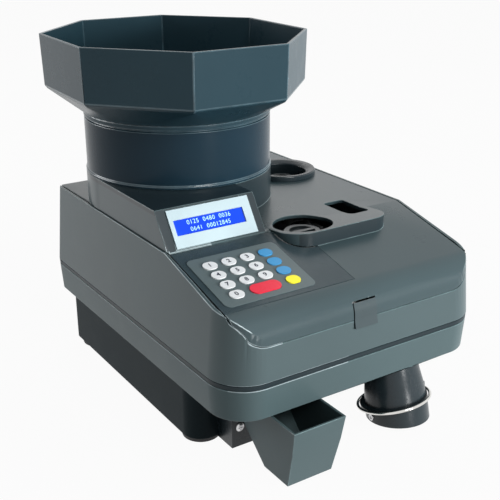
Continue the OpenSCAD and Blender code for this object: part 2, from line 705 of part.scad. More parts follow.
// Rack and pinion under the diameter knob
rack_pitch = 2 * PI * pinion_r / pinion_teeth;
tooth = rack_pitch * 0.34;
rail_z = deck_z;
rail_edge = track_right - 32;
gear_z = deck_z + 4;
dial_shaft_r = 3;
rail_travel = 7;

module pinion() {
    root = pinion_r - 1.1;
    linear_extrude(4) {
        circle(root, $fn = 40);
        for (i = [0:pinion_teeth - 1]) rotate([0, 0, 90 + i * 360 / pinion_teeth])
            polygon([[root - 0.6, -tooth * 0.62], [pinion_r, -tooth / 2], [pinion_r + 0.9, -tooth * 0.26],
                     [pinion_r + 0.9, tooth * 0.26], [pinion_r, tooth / 2], [root - 0.6, tooth * 0.62]]);
    }
}

module sliding_rail() color(steel_shade) home() {
    slab(rail_edge - 4, rail_edge, front + 48, wheel_y + 4, rail_z, rail_z + 5);
    slab(rail_edge - 40, rail_edge - 2, dial_y + pinion_r + 3, dial_y + pinion_r + 14, rail_z, rail_z + 3);
    at(0, dial_y + pinion_r, gear_z) {
        slab(rail_edge - 42, rail_edge - 2, 1.6, 6, -4, 4);
        linear_extrude(4) for (i = [-4:3]) at(dial_x + (i + 0.5) * rack_pitch, 0)
            polygon([[-tooth * 0.62, 2], [-tooth / 2, 0], [-tooth * 0.26, -0.9], [tooth * 0.26, -0.9],
                     [tooth / 2, 0], [tooth * 0.62, 2]]);
    }
}

// A knob with grip ribs round its edge
module ribbed_knob(r, h) {
    cylinder(h = h, r = r - 0.8, $fn = 72);
    for (i = [0:27]) rotate([0, 0, i * 360 / 28]) at(r - 0.9, 0, 0) cylinder(h = h - 0.8, r = 0.9, $fn = 16);
}

dial_top = top_z - 5;
module diameter_knob() color(dark_shade) home() at(dial_x, dial_y, 0) {
    difference() {
        at(0, 0, dial_top - 12) ribbed_knob(knob_r, 12);
        at(0, 0, dial_top - 2) cylinder(h = 4, r = knob_r - 5);
    }
    at(0, 0, dial_top - 4) slab(-knob_r + 3, knob_r - 3, -2, 2, 0, 4);
    at(0, 0, deck_z - deck_t - 4) cylinder(h = dial_top - 6 - deck_z + deck_t, r = dial_shaft_r, $fn = 48);
    at(0, 0, gear_z) pinion();
}

thick_r = min(knob_r - 1, ring_well_r - 5);
module thickness_knob() color(dark_shade) home() at(bezel_x, bezel_y, 0) {
    difference() {
        at(0, 0, dial_top - 12) ribbed_knob(thick_r, 12);
        at(0, 0, dial_top - 2) cylinder(h = 4, r = thick_r - 5);
    }
    at(0, 0, dial_top - 4) slab(3 - thick_r, thick_r - 3, -2, 2, 0, 4);
    at(0, 0, deck_z - deck_t - 4) cylinder(h = dial_top - 6 - deck_z + deck_t, r = dial_shaft_r, $fn = 48);
}

// ---------------------------------------------------------------- feed disc and drive

disc_z = deck_z + 3;
disc_t = 4;
pad_t = 1.6;
module feed_disc() color(steel_shade) home() at(neck_x, neck_y, disc_z) difference() {
    cylinder(h = disc_t, r = disc_r, $fn = 128);
    at(0, 0, -1) cylinder(h = disc_t + 2, r = shaft_r);
}

module disc_pad() color(rubber_shade) home() at(neck_x, neck_y, disc_z + disc_t) difference() {
    cylinder(h = pad_t, r = disc_r - 6, $fn = 128);
    at(0, 0, -1) cylinder(h = pad_t + 2, r = 14);
    // shallow radial grooves that carry the coins round
    for (i = [0:7]) rotate([0, 0, i * 45]) slab(24, disc_r - 14, -1.2, 1.2, pad_t - 0.8, pad_t + 1);
}

module disc_cone() color(steel_shade) home() at(neck_x, neck_y, disc_z + disc_t) difference() {
    rotate_extrude() polygon([[0, 0], [13.6, 0], [13.6, 2.4], [9, 5], [6, 9], [4.4, 13], [2, 14.6], [0, 15]]);
    at(0, 0, -1) cylinder(h = 9, r = shaft_r);
}

shaft_low = 58;
module feed_shaft() color(steel_shade) home() at(neck_x, neck_y, shaft_low)
    cylinder(h = disc_z + disc_t + 7 - shaft_low, r = shaft_r);

bearing_h = 18;
module shaft_bearing() color(brass_shade) home() at(neck_x, neck_y, deck_z - deck_t - bearing_h) difference() {
    union() {
        cylinder(h = bearing_h, r = 14);
        at(0, 0, bearing_h - 4) cylinder(h = 4, r = 26);
    }
    at(0, 0, -1) cylinder(h = bearing_h + 2, r = shaft_r + run_gap);
}

pulley_z = 64;
pulley_h = 12;
// A flanged pulley
module pulley(r, bore) difference() {
    rotate_extrude() polygon([[0, 0], [r + 2, 0], [r + 2, 1.4], [r, 1.8], [r, pulley_h - 1.8],
                              [r + 2, pulley_h - 1.4], [r + 2, pulley_h], [0, pulley_h]]);
    at(0, 0, -1) cylinder(h = pulley_h + 2, r = bore);
}

module disc_pulley() color(dark_shade) home() at(neck_x, neck_y, pulley_z) pulley(disc_pulley_r, shaft_r);

motor_x = right - motor_in;
pulley_distance = motor_x - neck_x;
motor_shaft_r = 3;
motor_r = 25;
module drive_motor() color(steel_shade) home() at(motor_x, neck_y, pad_h + foot_wall) {
    difference() {
        union() {
            cylinder(h = 46, r = motor_r);
            cylinder(h = 3, r = motor_r + 6);
        }
        at(0, 0, 46) cylinder(h = 4, r = 8, center = true);
    }
    cylinder(h = pulley_z + pulley_h - pad_h - foot_wall - 1, r = motor_shaft_r);
}

module motor_pulley() color(brass_shade) home() at(motor_x, neck_y, pulley_z)
    pulley(motor_pulley_r, motor_shaft_r + run_gap);

belt_t = 1.6;
module drive_belt() color(rubber_shade) home() at(neck_x, neck_y, pulley_z + 2.4) linear_extrude(pulley_h - 4.8)
    difference() {
        hull() { circle(disc_pulley_r + fit_gap + belt_t); at(pulley_distance, 0) circle(motor_pulley_r + fit_gap + belt_t); }
        hull() { circle(disc_pulley_r + fit_gap); at(pulley_distance, 0) circle(motor_pulley_r + fit_gap); }
    }

module coin_sensor() color(dark_shade) home() difference() {
    slab(track_right + rail_t + 0.1, track_right + 20, front + 64, front + 82, deck_z + 2, deck_z + 16);
    slab(track_right + 6, track_right + 21, front + 68, front + 78, deck_z + 12, deck_z + 17);
}

gate_x = track_right - 40;
gate_y = front + 42;
gate_pin_r = 2;
module reject_gate() color(brass_shade) home() at(gate_x, gate_y, 0) {
    slab(-1, 22, -1.5, 1.5, deck_z + 0.3, deck_z + 8);
    at(0, 0, deck_z - deck_t - 6) cylinder(h = deck_t + 14, r = gate_pin_r, $fn = 32);
    at(0, 0, deck_z + 0.3) cylinder(h = 7.7, r = 4, $fn = 32);
}

// ---------------------------------------------------------------- electrics

module main_board() color([0.1, 0.35, 0.18]) home() {
    board_z = pad_h + foot_wall + 8;
    translate([left, front, 0]) {
        slab(25, 105, 90, 200, board_z, board_z + 1.6);
        for (x = [31, 99], y = [96, 194]) at(x, y, pad_h + foot_wall) cylinder(h = 8, r = 3, $fn = 24);
        slab(33, 59, 130, 160, board_z + 1.6, board_z + 4);
        slab(69, 91, 110, 122, board_z + 1.6, board_z + 9);
        for (i = [0:3]) at(37 + i * 14, 184, board_z + 1.6) cylinder(h = 14, r = 5, $fn = 24);
    }
}

inlet_x = left + 45;
inlet_z = 29;
inlet_w = 28;
inlet_h = 20;
switch_x = left + 77;
switch_w = 13.2;
module power_inlet() color(rubber_shade) home() difference() {
    union() {
        slab(inlet_x - inlet_w / 2, inlet_x + inlet_w / 2, foot_back - 22, foot_back, inlet_z - inlet_h / 2, inlet_z + inlet_h / 2);
        slab(inlet_x - inlet_w / 2 - 3, inlet_x + inlet_w / 2 + 3, foot_back, foot_back + 2, inlet_z - inlet_h / 2 - 2, inlet_z + inlet_h / 2 + 2);
    }
    slab(inlet_x - 11.5, inlet_x + 11.5, foot_back - 16, foot_back + 3, inlet_z - 7, inlet_z + 7);
}

module switch_housing() color(rubber_shade) home() difference() {
    union() {
        slab(switch_x - switch_w / 2, switch_x + switch_w / 2, foot_back - 16, foot_back, inlet_z - inlet_h / 2, inlet_z + inlet_h / 2);
        slab(switch_x - switch_w / 2 - 1.5, switch_x + switch_w / 2 + 1.5, foot_back, foot_back + 1.6, inlet_z - inlet_h / 2 - 1.5, inlet_z + inlet_h / 2 + 1.5);
    }
    slab(switch_x - 4.8, switch_x + 4.8, foot_back - 12, foot_back + 3, inlet_z - 8.2, inlet_z + 8.2);
}

rocker_y = foot_back - 6;
module switch_rocker() color([0.7, 0.08, 0.06]) home() {
    at(switch_x - 4.4, rocker_y, inlet_z) rotate([90, 0, 90]) linear_extrude(8.8)
        polygon([[-3, -5], [5, -7.4], [8.6, -6.8], [7.2, 0], [8.6, 6.8], [5, 7.4], [-3, 5]]);
}

// ---------------------------------------------------------------- outlets

cup_left = left + cup_in;
chute_left = cup_left - 6.2;
chute_right = cup_left + 47.4;
chute_front = foot_front + 22;
module reject_chute() color(dark_shade) home() difference() {
    slab(chute_left, chute_right, -chute_front, -foot_front, pad_h, skirt_z);
    // sloping way down for rejected coins
    translate([0, -foot_front, 44]) rotate([28, 0, 0])
        slab(chute_left + 10, chute_right - 6, -40, 12, -12, 6);
    at(chute_screw_x, -chute_front - 1, chute_screw_z) rotate([-90, 0, 0]) cylinder(h = 9, r = 1.7, $fn = 32);
    cup_tongues(fit_gap);
}

chute_screw_x = chute_left + 7.1;
chute_screw_z = 19;
// A pan-head screw pointing along +Y, with a cross recess in its head
module screw(r_head, r_shank, l) rotate([-90, 0, 0]) {
    difference() {
        at(0, 0, -1.8) rotate_extrude($fn = 40) polygon([[0, 0], [r_head * 0.6, 0.1], [r_head, 1], [r_head, 1.8], [0, 1.8]]);
        for (a = [0, 90]) rotate([0, 0, a]) slab(-r_head * 0.6, r_head * 0.6, -0.4, 0.4, -2.5, -0.9);
    }
    cylinder(h = l, r = r_shank, $fn = 32);
}

module case_screws() color(steel_shade) home()
    at(chute_screw_x, -chute_front, chute_screw_z) screw(3.6, 1.65, 7.5);

// The cup tapers on every side and leans back under the case
cup_back = chute_front + 0.4;
cup_top = skirt_z - 1.2;
module cup_shape(inset, z_low) {
    rim = [[cup_left + inset, -cup_front + inset], [cup_left + cup_w - inset, -cup_back - inset]];
    low = [[cup_left + 1.8 + inset, -cup_front + 10 + inset], [cup_left + cup_w - 4.2 - inset, -cup_back - 33 - inset]];
    hull() {
        slab(rim[0].x, rim[1].x, rim[0].y, rim[1].y, cup_top - eps + (inset > 0 ? 1 : 0), cup_top + (inset > 0 ? 1 : 0));
        slab(rim[0].x + 0.6, rim[1].x - 1.6, rim[0].y + 3, rim[1].y, cup_top - 20, cup_top - 20 + eps);
        slab(low[0].x, low[1].x, low[0].y, low[1].y, z_low, z_low + eps);
    }
}

// Two tongues on the cup's back plug into slots beside the chute's way
tongue_z = cup_top - 18.8;
module cup_tongues(gap = 0) for (x = [cup_left + 0.8, cup_left + cup_w - 4.6])
    slab(x - gap, x + 2 + gap, -cup_back - 1.4, -cup_back + 6 + gap, tongue_z - gap, tongue_z + 3.5 + gap);

module reject_cup() color(case_shade) home() difference() {
    union() {
        cup_shape(0, cup_low);
        cup_tongues();
    }
    cup_shape(cup_wall, cup_low + cup_wall);
    slab(cup_left + 8, cup_left + cup_w - 8, -cup_back - 3, -cup_back + 3, cup_top - 16, cup_top + 2);
}

// The tube's axis starts at the middle of its mouth and climbs backwards
tube_x = right - tube_in;
tube_mouth_y = front + 13;
mouth_tilt = 6;
tube_wall = 2.2;
tube_len = 98;
tube_top_r = 20;
module tube_axis() translate([tube_x, tube_mouth_y, tube_mouth_z]) rotate([-tube_lean, 0, 0]) children();

tube_bend = (skirt_z - tube_mouth_z) / cos(tube_lean);
module coin_tube() color(dark_shade) home() difference() {
    union() {
        tube_axis() rotate_extrude($fn = 96)
            polygon([[0, -9], [tube_mouth_r, -9], [tube_mouth_r, 10], [tube_mouth_r - 1.2, 24],
                     [tube_neck_r + 0.6, tube_bend - 12], [tube_neck_r, tube_bend - 4], [tube_neck_r, tube_bend + 4],
                     [tube_top_r, tube_bend + 14], [tube_top_r, tube_len], [0, tube_len]]);
        // lugs for the bag ring and for the rivet
        tube_axis() at(tube_neck_r, -3, ring_pivot_h - 3.5) cube([ring_x + 3 - tube_neck_r, 6, 7]);
        // flange that the bag is drawn over
        ring_plane() at(0, 0, -1.2) cylinder(h = 2.4, r = ring_r - ring_wire / 2 - 0.7, $fn = 96);
    }
    tube_axis() rotate_extrude($fn = 96)
        polygon([[0, -10], [tube_mouth_r - tube_wall, -10], [tube_mouth_r - tube_wall, 10],
                 [tube_neck_r - tube_wall, tube_bend - 4], [tube_top_r - tube_wall, tube_bend + 14],
                 [tube_top_r - tube_wall, tube_len + 1], [0, tube_len + 1]]);
    slab(-far, far, -far, far, deck_z - deck_t - 0.2, far);
    // the mouth is cut nearly level with the table
    translate([tube_x, tube_mouth_y, tube_mouth_z]) rotate([-mouth_tilt, 0, 0]) slab(-far, far, -far, far, -far, 0);
    // the ring's wire passes through its lug
    tube_axis() at(ring_x, 0, ring_pivot_h) rotate([90, 0, 0])
        cylinder(h = 20, r = ring_wire / 2 + 0.35, center = true, $fn = 32);
    tube_axis() at(0, 0, rivet_h) rotate([0, -90, rivet_a]) cylinder(h = 40, r = 1.5, $fn = 24);
}

ring_pivot_h = 17;
ring_drop = 5;
ring_x = tube_mouth_r + ring_wire / 2 + 0.5;
module ring_plane() tube_axis() at(ring_x, 0, ring_pivot_h) rotate([0, -ring_drop, 0])
    at(-ring_r, 0, 0) children();
module bag_ring() color(steel_shade) home() ring_plane()
    rotate_extrude($fn = 96) at(ring_r, 0) circle(ring_wire / 2, $fn = 20);

rivet_h = 5;
rivet_a = -3;
module tube_rivet() color(steel_shade) home() tube_axis() at(0, 0, rivet_h) rotate([0, -90, rivet_a])
    at(0, 0, tube_mouth_r - 3) {
        cylinder(h = 3.4, r = 1.5, $fn = 24);
        at(0, 0, 3) difference() {
            cylinder(h = 1, r = 2.8, $fn = 32);
            at(0, 0, 0.4) cylinder(h = 1, r = 1.4, $fn = 24);
        }
    }

// ---------------------------------------------------------------- nodes

base_chassis();
rubber_feet();
lower_cover();
seam_strip();
side_shell();
deck_plate();
deck_posts();
feed_pan();
fixed_rail();
sliding_rail();
diameter_knob();
thickness_knob();
feed_disc();
disc_pad();
disc_cone();
feed_shaft();
shaft_bearing();
disc_pulley();
drive_motor();
motor_pulley();
drive_belt();
transport_wheel();
coin_sensor();
reject_gate();
main_board();
power_inlet();
switch_housing();
switch_rocker();
reject_chute();
case_screws();
reject_cup();
coin_tube();
bag_ring();
tube_rivet();
hinge_pins();
top_cover();
front_latch();
control_panel();
display_bezel();
lcd_panel();
keypad_overlay();
keypad_board();
hopper_neck();
hopper();
knob_bezel();
for (i = [0:len(KEYS) - 1]) key_cap(i);
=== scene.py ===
import json
import math

import bmesh
import bpy
from mathutils import Matrix, Vector


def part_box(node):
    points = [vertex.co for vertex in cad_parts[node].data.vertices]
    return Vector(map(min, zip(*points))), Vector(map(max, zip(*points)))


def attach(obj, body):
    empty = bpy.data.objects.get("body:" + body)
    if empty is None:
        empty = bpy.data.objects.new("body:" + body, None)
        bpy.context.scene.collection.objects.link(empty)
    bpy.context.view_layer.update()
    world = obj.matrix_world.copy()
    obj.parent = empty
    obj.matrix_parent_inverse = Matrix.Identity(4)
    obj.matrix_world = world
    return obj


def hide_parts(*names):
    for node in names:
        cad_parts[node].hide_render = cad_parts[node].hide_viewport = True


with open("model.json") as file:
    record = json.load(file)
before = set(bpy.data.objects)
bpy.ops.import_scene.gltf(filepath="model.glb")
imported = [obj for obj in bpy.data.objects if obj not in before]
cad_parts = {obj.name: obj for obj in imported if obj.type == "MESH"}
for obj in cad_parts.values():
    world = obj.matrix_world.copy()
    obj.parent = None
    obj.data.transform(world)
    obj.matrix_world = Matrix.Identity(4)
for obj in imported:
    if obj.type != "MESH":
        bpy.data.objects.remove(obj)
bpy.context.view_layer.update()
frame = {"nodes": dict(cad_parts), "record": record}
nodes = frame["nodes"]
scene = bpy.context.scene
scene.view_settings.view_transform = "Standard"

body_of_node = {n: b for b, names in frame["record"]["behaviour"]["bodies"].items() for n in names}

# The cover's slope and the display's face, tilted up from level, and the level crown behind the slope.
SLOPE = math.radians(14)
FACE = math.radians(56)
CROWN_TOP = 0.1568
CROWN_FRONT = -0.05733


# ---------------------------------------------------------------- camera

def place_camera():
    """A long lens from the front left, a little above the machine and looking down at it."""
    data = bpy.data.cameras.new("camera")
    data.lens = 64.54
    data.sensor_width = 36
    data.clip_start, data.clip_end = 0.02, 40
    camera = bpy.data.objects.new("camera", data)
    eye = Vector((-0.40306, -0.62433, 0.4047))
    right = Vector((0.83658, -0.54784, -0.00268))
    up = Vector((0.19975, 0.30047, 0.93264))
    ahead = Vector((0.51014, 0.78076, -0.36079))
    turn = Matrix((right, up, -ahead)).transposed().to_4x4()
    camera.matrix_world = Matrix.Translation(eye) @ turn
    scene.collection.objects.link(camera)
    scene.camera = camera


place_camera()


# ---------------------------------------------------------------- shader maths

class Value:
    """A number or colour inside a material or the room. Arithmetic on it adds Math nodes."""

    def __init__(self, shading, socket):
        self.shading = shading
        self.socket = socket

    def math(self, operation, *terms):
        return self.shading.node("ShaderNodeMath", {"operation": operation}, dict(enumerate(terms)))

    def __add__(self, other):
        return self.math("ADD", self, other)

    def __sub__(self, other):
        return self.math("SUBTRACT", self, other)

    def __rsub__(self, other):
        return self.math("SUBTRACT", other, self)

    def __mul__(self, other):
        return self.math("MULTIPLY", self, other)

    def __gt__(self, other):
        return self.math("GREATER_THAN", self, other)

    def __lt__(self, other):
        return self.math("LESS_THAN", self, other)

    __radd__ = __add__
    __rmul__ = __mul__

    def wave(self):
        return self.math("SINE", self)

    def least(self, other):
        """The smaller of the two."""
        return self.math("MINIMUM", self, other)

    def most(self, other):
        """The larger of the two: either mask, where both are masks."""
        return self.math("MAXIMUM", self, other)

    def spread(self, low, high, to_low=0.0, to_high=1.0):
        """The value from low..high stretched to to_low..to_high, and kept inside it."""
        return self.shading.node("ShaderNodeMapRange", {"clamp": True},
                                 {0: self, 1: low, 2: high, 3: to_low, 4: to_high})

    def axis(self, letter):
        return self.shading.node("ShaderNodeSeparateXYZ", {}, {0: self}, "XYZ".index(letter))


class Shading:
    """The nodes of one material or of the room."""

    def __init__(self, owner):
        owner.use_nodes = True
        self.tree = owner.node_tree

    def node(self, kind, settings, inputs, output=0):
        """A new node with its settings and inputs, as the Value of one of its outputs."""
        made = self.tree.nodes.new(kind)
        for name, value in settings.items():
            setattr(made, name, value)
        for name, value in inputs.items():
            if isinstance(value, Value):
                self.tree.links.new(value.socket, made.inputs[name])
            else:
                made.inputs[name].default_value = value
        return Value(self, made.outputs[output])

    def in_view(self):
        """1 where the camera sees it, straight, mirrored or through glass, and 0 where it gives light."""
        camera, glossy, glass = (self.node("ShaderNodeLightPath", {}, {}, f"Is {kind} Ray")
                                 for kind in ("Camera", "Glossy", "Transmission"))
        return (camera + glossy + glass).least(1.0)

    def blend_into(self, output, factor, first, second):
        """Send a mix of two shaders to the material's or the room's output."""
        blend = self.node("ShaderNodeMixShader", {}, {0: factor, 1: first, 2: second})
        self.tree.links.new(blend.socket, self.tree.nodes[output].inputs["Surface"])


class Finish(Shading):
    """One material: a Principled shader whose even values sit on its own sockets."""

    def __init__(self, name, color, roughness, **even):
        self.material = bpy.data.materials.new(name)
        super().__init__(self.material)
        self.shader = self.tree.nodes["Principled BSDF"]
        self.shader.inputs["Base Color"].default_value = (*color, 1)
        self.shader.inputs["Roughness"].default_value = roughness
        for socket, value in even.items():
            self.shader.inputs[socket.replace("_", " ")].default_value = value

    def place(self):
        """Position on the object, in metres, in the machine's own frame."""
        return self.node("ShaderNodeTexCoord", {}, {}, "Object")

    def stretched(self, x, y, z):
        """Position scaled apart on each axis, for drawn lines."""
        return self.node("ShaderNodeMapping", {}, {"Vector": self.place(), "Scale": (x, y, z)})

    def noise(self, scale, detail, roughness=0.5, at=None):
        return self.node("ShaderNodeTexNoise", {}, {"Vector": at or self.place(), "Scale": scale,
                                                    "Detail": detail, "Roughness": roughness})

    def mix(self, factor, first, second):
        """Blend of two colours."""
        inputs = {0: factor}
        for socket, value in ((6, first), (7, second)):
            inputs[socket] = value if isinstance(value, Value) else (*value, 1)
        return self.node("ShaderNodeMix", {"data_type": "RGBA"}, inputs, 2)

    def feed(self, name, value):
        """Drive one socket of the shader."""
        self.tree.links.new(value.socket, self.shader.inputs[name])

    def bump(self, height, depth, strength):
        self.feed("Normal", self.node("ShaderNodeBump", {}, {"Strength": strength, "Distance": depth,
                                                             "Height": height}))


def tinted(color, amount):
    return tuple(min(1.0, c * amount) for c in color)


def shaded_walls_mask(f):
    """Mask of painted shade: what stands above the cover's slope and crown and doesn't face up or left
    towards the lamps: the seat of the neck, the shelf's wall and the display's housing, with the top of that
    housing. On the neck's seat it also stands for the neck's own darker plastic."""
    y, z = f.place().axis("Y"), f.place().axis("Z")
    facing = f.node("ShaderNodeTexCoord", {}, {}, "Normal")
    ground = ((y - CROWN_FRONT) * math.tan(SLOPE)).least(0.0) + CROWN_TOP
    above_ground = z - ground > 0.0004
    turned_from_lamps = (facing.axis("Z") < 0.62) * (facing.axis("X") > -0.6)
    housing_top = z > 0.1815
    return (above_ground * turned_from_lamps).most(housing_top)


def moulded(name, color, roughness, grain=0.00002, painted_wall_shade=None, **even):
    """Injection-moulded plastic: fine spark-eroded grain, faint flow clouds and rubbed patches.
    The grain is its depth in metres. The painted wall shade, a darker colour, goes on the walls that stand on
    the cover and turn away from the lamps."""
    f = Finish(name, color, roughness, **even)
    fine = f.noise(2600, 1.0)
    rubbed = f.noise(38, 4.0, 0.6).spread(0.5, 0.75)
    cloud = f.noise(9, 3.0).spread(0.3, 0.7)
    shade = f.mix(cloud, tinted(color, 0.94), tinted(color, 1.06))
    # Painted shade: a darker colour on the walls that stand on the cover and turn away from the lamps.
    if painted_wall_shade:
        shade = f.mix(shaded_walls_mask(f), shade, painted_wall_shade)
    f.feed("Base Color", shade)
    f.feed("Roughness", roughness + (cloud - 0.5) * 0.05 - rubbed * 0.045 + (fine - 0.5) * 0.05)
    f.bump(fine, grain, 0.6)
    return f.material


def edge_with_painted_highlight(name, color, roughness, painted_highlight=None):
    """The same plastic along an eased edge, paler and glossier in random patches: painted highlight along the
    edge. A brighter painted highlight goes on the left beside the keys, and on the seam's front left."""
    f = Finish(name, color, roughness)
    patches = f.noise(70, 3.0, 0.6).spread(0.35, 0.65)
    # Paler edge strips: painted highlight, varied in random patches.
    shade = f.mix(patches, tinted(color, 1.15), tinted(color, 1.9))
    if painted_highlight:
        x, y, z = (f.place().axis(letter) for letter in "XYZ")
        # A brighter painted highlight on the edges beside the keys and along the seam's front left.
        highlight_beside_keys = (x < -0.070) * (y < -0.056) * (z > 0.104)
        highlight_along_seam = (x < -0.010) * (y < -0.146) * (z < 0.090) * (z > 0.078)
        highlight_mask = highlight_beside_keys.most(highlight_along_seam) * patches.spread(0, 1, 0.55, 1.0)
        shade = f.mix(highlight_mask, shade, painted_highlight)
    f.feed("Base Color", shade)
    f.feed("Roughness", roughness - patches * 0.07)
    return f.material


def film(name, color, roughness, **even):
    """Printed plastic film: smooth, with a fine even stipple."""
    f = Finish(name, color, roughness, **even)
    stipple = f.noise(5200, 0.0)
    wide = f.noise(24, 2.0).spread(0.35, 0.65)
    f.feed("Base Color", f.mix(wide, tinted(color, 0.96), tinted(color, 1.04)))
    f.feed("Roughness", roughness + (wide - 0.5) * 0.06 + (stipple - 0.5) * 0.08)
    f.bump(stipple, 0.000012, 0.5)
    return f.material


def brushed(name, color, roughness, along):
    """Sheet or turned metal with fine drawn lines, long on the axis whose scale is small."""
    f = Finish(name, color, roughness, Metallic=1.0)
    lines = f.noise(1.0, 3.0, 0.6, f.stretched(*along))
    spots = f.noise(45, 3.0).spread(0.35, 0.75)
    f.feed("Base Color", f.mix(spots, tinted(color, 0.86), tinted(color, 1.05)))
    f.feed("Roughness", roughness + (lines - 0.5) * 0.18 + spots * 0.06)
    f.bump(lines, 0.00001, 0.5)
    return f.material


def rubbery(name, color, roughness):
    """Soft rubber: dull, faintly dusty, with a pebbled skin."""
    f = Finish(name, color, roughness)
    pebbles = f.noise(1500, 2.0)
    dust = f.noise(60, 4.0, 0.65).spread(0.45, 0.8)
    f.feed("Base Color", f.mix(dust, color, tinted(color, 1.9)))
    f.feed("Roughness", roughness + (pebbles - 0.5) * 0.12)
    f.bump(pebbles, 0.00005, 0.7)
    return f.material


def circuit_board(name):
    """Green solder mask with fine copper tracks under it."""
    color = (0.012, 0.10, 0.035)
    f = Finish(name, color, 0.34)
    stripes = (f.place().axis("X") * 620).wave().spread(0.82, 0.95)
    tracks = stripes * f.noise(90, 0.0).spread(0.5, 0.56)
    f.feed("Base Color", f.mix(tracks, color, tinted(color, 2.0)))
    f.bump(tracks, 0.00004, 0.5)
    return f.material


def lit_screen(name):
    """Blue backlit screen: an uneven glow behind fine columns of dots."""
    f = Finish(name, (0.004, 0.02, 0.22), 0.35, Emission_Strength=1.0, Specular_IOR_Level=0.1)
    columns = (f.place().axis("X") * 9400).wave().spread(-1, 1, 0.8, 1.0)
    glow = f.noise(26, 1.0).spread(0.3, 0.7)
    blue = f.mix(glow, (0.006, 0.05, 0.62), (0.012, 0.11, 0.95))
    f.feed("Emission Color", f.mix(columns, (0.0, 0.015, 0.3), blue))
    return f.material


CHARCOAL = (0.052, 0.080, 0.085)

# One case plastic in three shades: the side shell a little darker and the cover much darker than the lower
# cover, as painted shade. The edge finishes' paler colours are painted highlight.
side_plastic = moulded("side_plastic", (0.047, 0.070, 0.075), 0.34, Specular_IOR_Level=0.35)
shell_edge = edge_with_painted_highlight("shell_edge", CHARCOAL, 0.26, painted_highlight=(0.30, 0.36, 0.38))
cover_plastic = moulded("cover_plastic", (0.027, 0.047, 0.053), 0.31, painted_wall_shade=(0.010, 0.018, 0.022),
                        Specular_IOR_Level=0.5)
cover_edge = edge_with_painted_highlight("cover_edge", tinted(CHARCOAL, 0.8), 0.24, painted_highlight=(0.38, 0.46, 0.48))
hopper_plastic = moulded("hopper_plastic", (0.014, 0.034, 0.045), 0.30, grain=0.000014,
                         Specular_IOR_Level=0.17)
hopper_edge = edge_with_painted_highlight("hopper_edge", (0.022, 0.042, 0.052), 0.26)
neck_plastic = moulded("neck_plastic", (0.007, 0.020, 0.031), 0.24, grain=0.00001, Specular_IOR_Level=0.13)
foot_plastic = moulded("foot_plastic", (0.010, 0.017, 0.020), 0.46, grain=0.00003, Specular_IOR_Level=0.05)
lower_plastic = moulded("lower_plastic", (0.052, 0.078, 0.083), 0.36, Specular_IOR_Level=0.18)
latch_plastic = moulded("latch_plastic", (0.031, 0.046, 0.051), 0.30)
dark_plastic = moulded("dark_plastic", (0.011, 0.018, 0.022), 0.27, grain=0.000012, Specular_IOR_Level=0.4)
seam_plastic = moulded("seam_plastic", (0.012, 0.020, 0.024), 0.42, Specular_IOR_Level=0.2)
knob_plastic = moulded("knob_plastic", (0.012, 0.018, 0.021), 0.32)
gloss_black = moulded("gloss_black_plastic", (0.010, 0.011, 0.012), 0.22, grain=0.000006)
panel_film = film("panel_film", (0.027, 0.043, 0.050), 0.26, Specular_IOR_Level=0.3)
keypad_film = film("keypad_film", (0.086, 0.114, 0.119), 0.36, Specular_IOR_Level=0.3)
bezel_film = film("bezel_film", (0.36, 0.45, 0.48), 0.36, Specular_IOR_Level=0.2)
white_key = film("white_key", (0.64, 0.66, 0.67), 0.42)
blue_key = film("blue_key", (0.040, 0.25, 0.50), 0.42)
red_key = film("red_key", (0.66, 0.018, 0.045), 0.40)
yellow_key = film("yellow_key", (0.84, 0.76, 0.02), 0.42)
rocker_red = moulded("rocker_red", (0.50, 0.012, 0.010), 0.30)
ink = film("printed_ink", (0.02, 0.025, 0.04), 0.5)
sheet_steel = brushed("sheet_steel", (0.60, 0.61, 0.62), 0.34, (900, 14, 900))
turned_steel = brushed("turned_steel", (0.64, 0.64, 0.65), 0.28, (900, 900, 60))
polished_wire = brushed("polished_wire", (0.78, 0.77, 0.74), 0.14, (120, 120, 120))
brass = brushed("turned_brass", (0.70, 0.50, 0.22), 0.30, (900, 900, 60))
rubber = rubbery("black_rubber", (0.022, 0.022, 0.023), 0.72)
board = circuit_board("circuit_board")
screen = lit_screen("lit_screen")
lit_ink = film("lit_characters", (0.30, 0.50, 0.90), 0.3, Emission_Strength=1.0,
               Emission_Color=(0.14, 0.32, 0.90, 1))


# ---------------------------------------------------------------- pieces

def ride_on(piece, node):
    """The piece moves with the node's body."""
    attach(piece, body_of_node[node])


def baked_mesh(thing):
    """The object's mesh with its modifiers, or its curve's shape, worked out."""
    bpy.context.view_layer.update()
    return bpy.data.meshes.new_from_object(thing.evaluated_get(bpy.context.evaluated_depsgraph_get()))


# The finish of the eased edges, with painted highlight along them. Where none is named, they take the piece's
# own.
EDGE_FINISH = {
    side_plastic: shell_edge, lower_plastic: shell_edge, cover_plastic: cover_edge,
    hopper_plastic: hopper_edge, neck_plastic: hopper_edge,
}
# Large shells, where the clamp on overlapping edges would leave next to no rounding at all.
UNCLAMPED = ("hopper", "top_cover", "side_shell", "lower_cover", "base_chassis", "reject_cup")
SHARP = math.radians(32)
SPECK = 0.00002


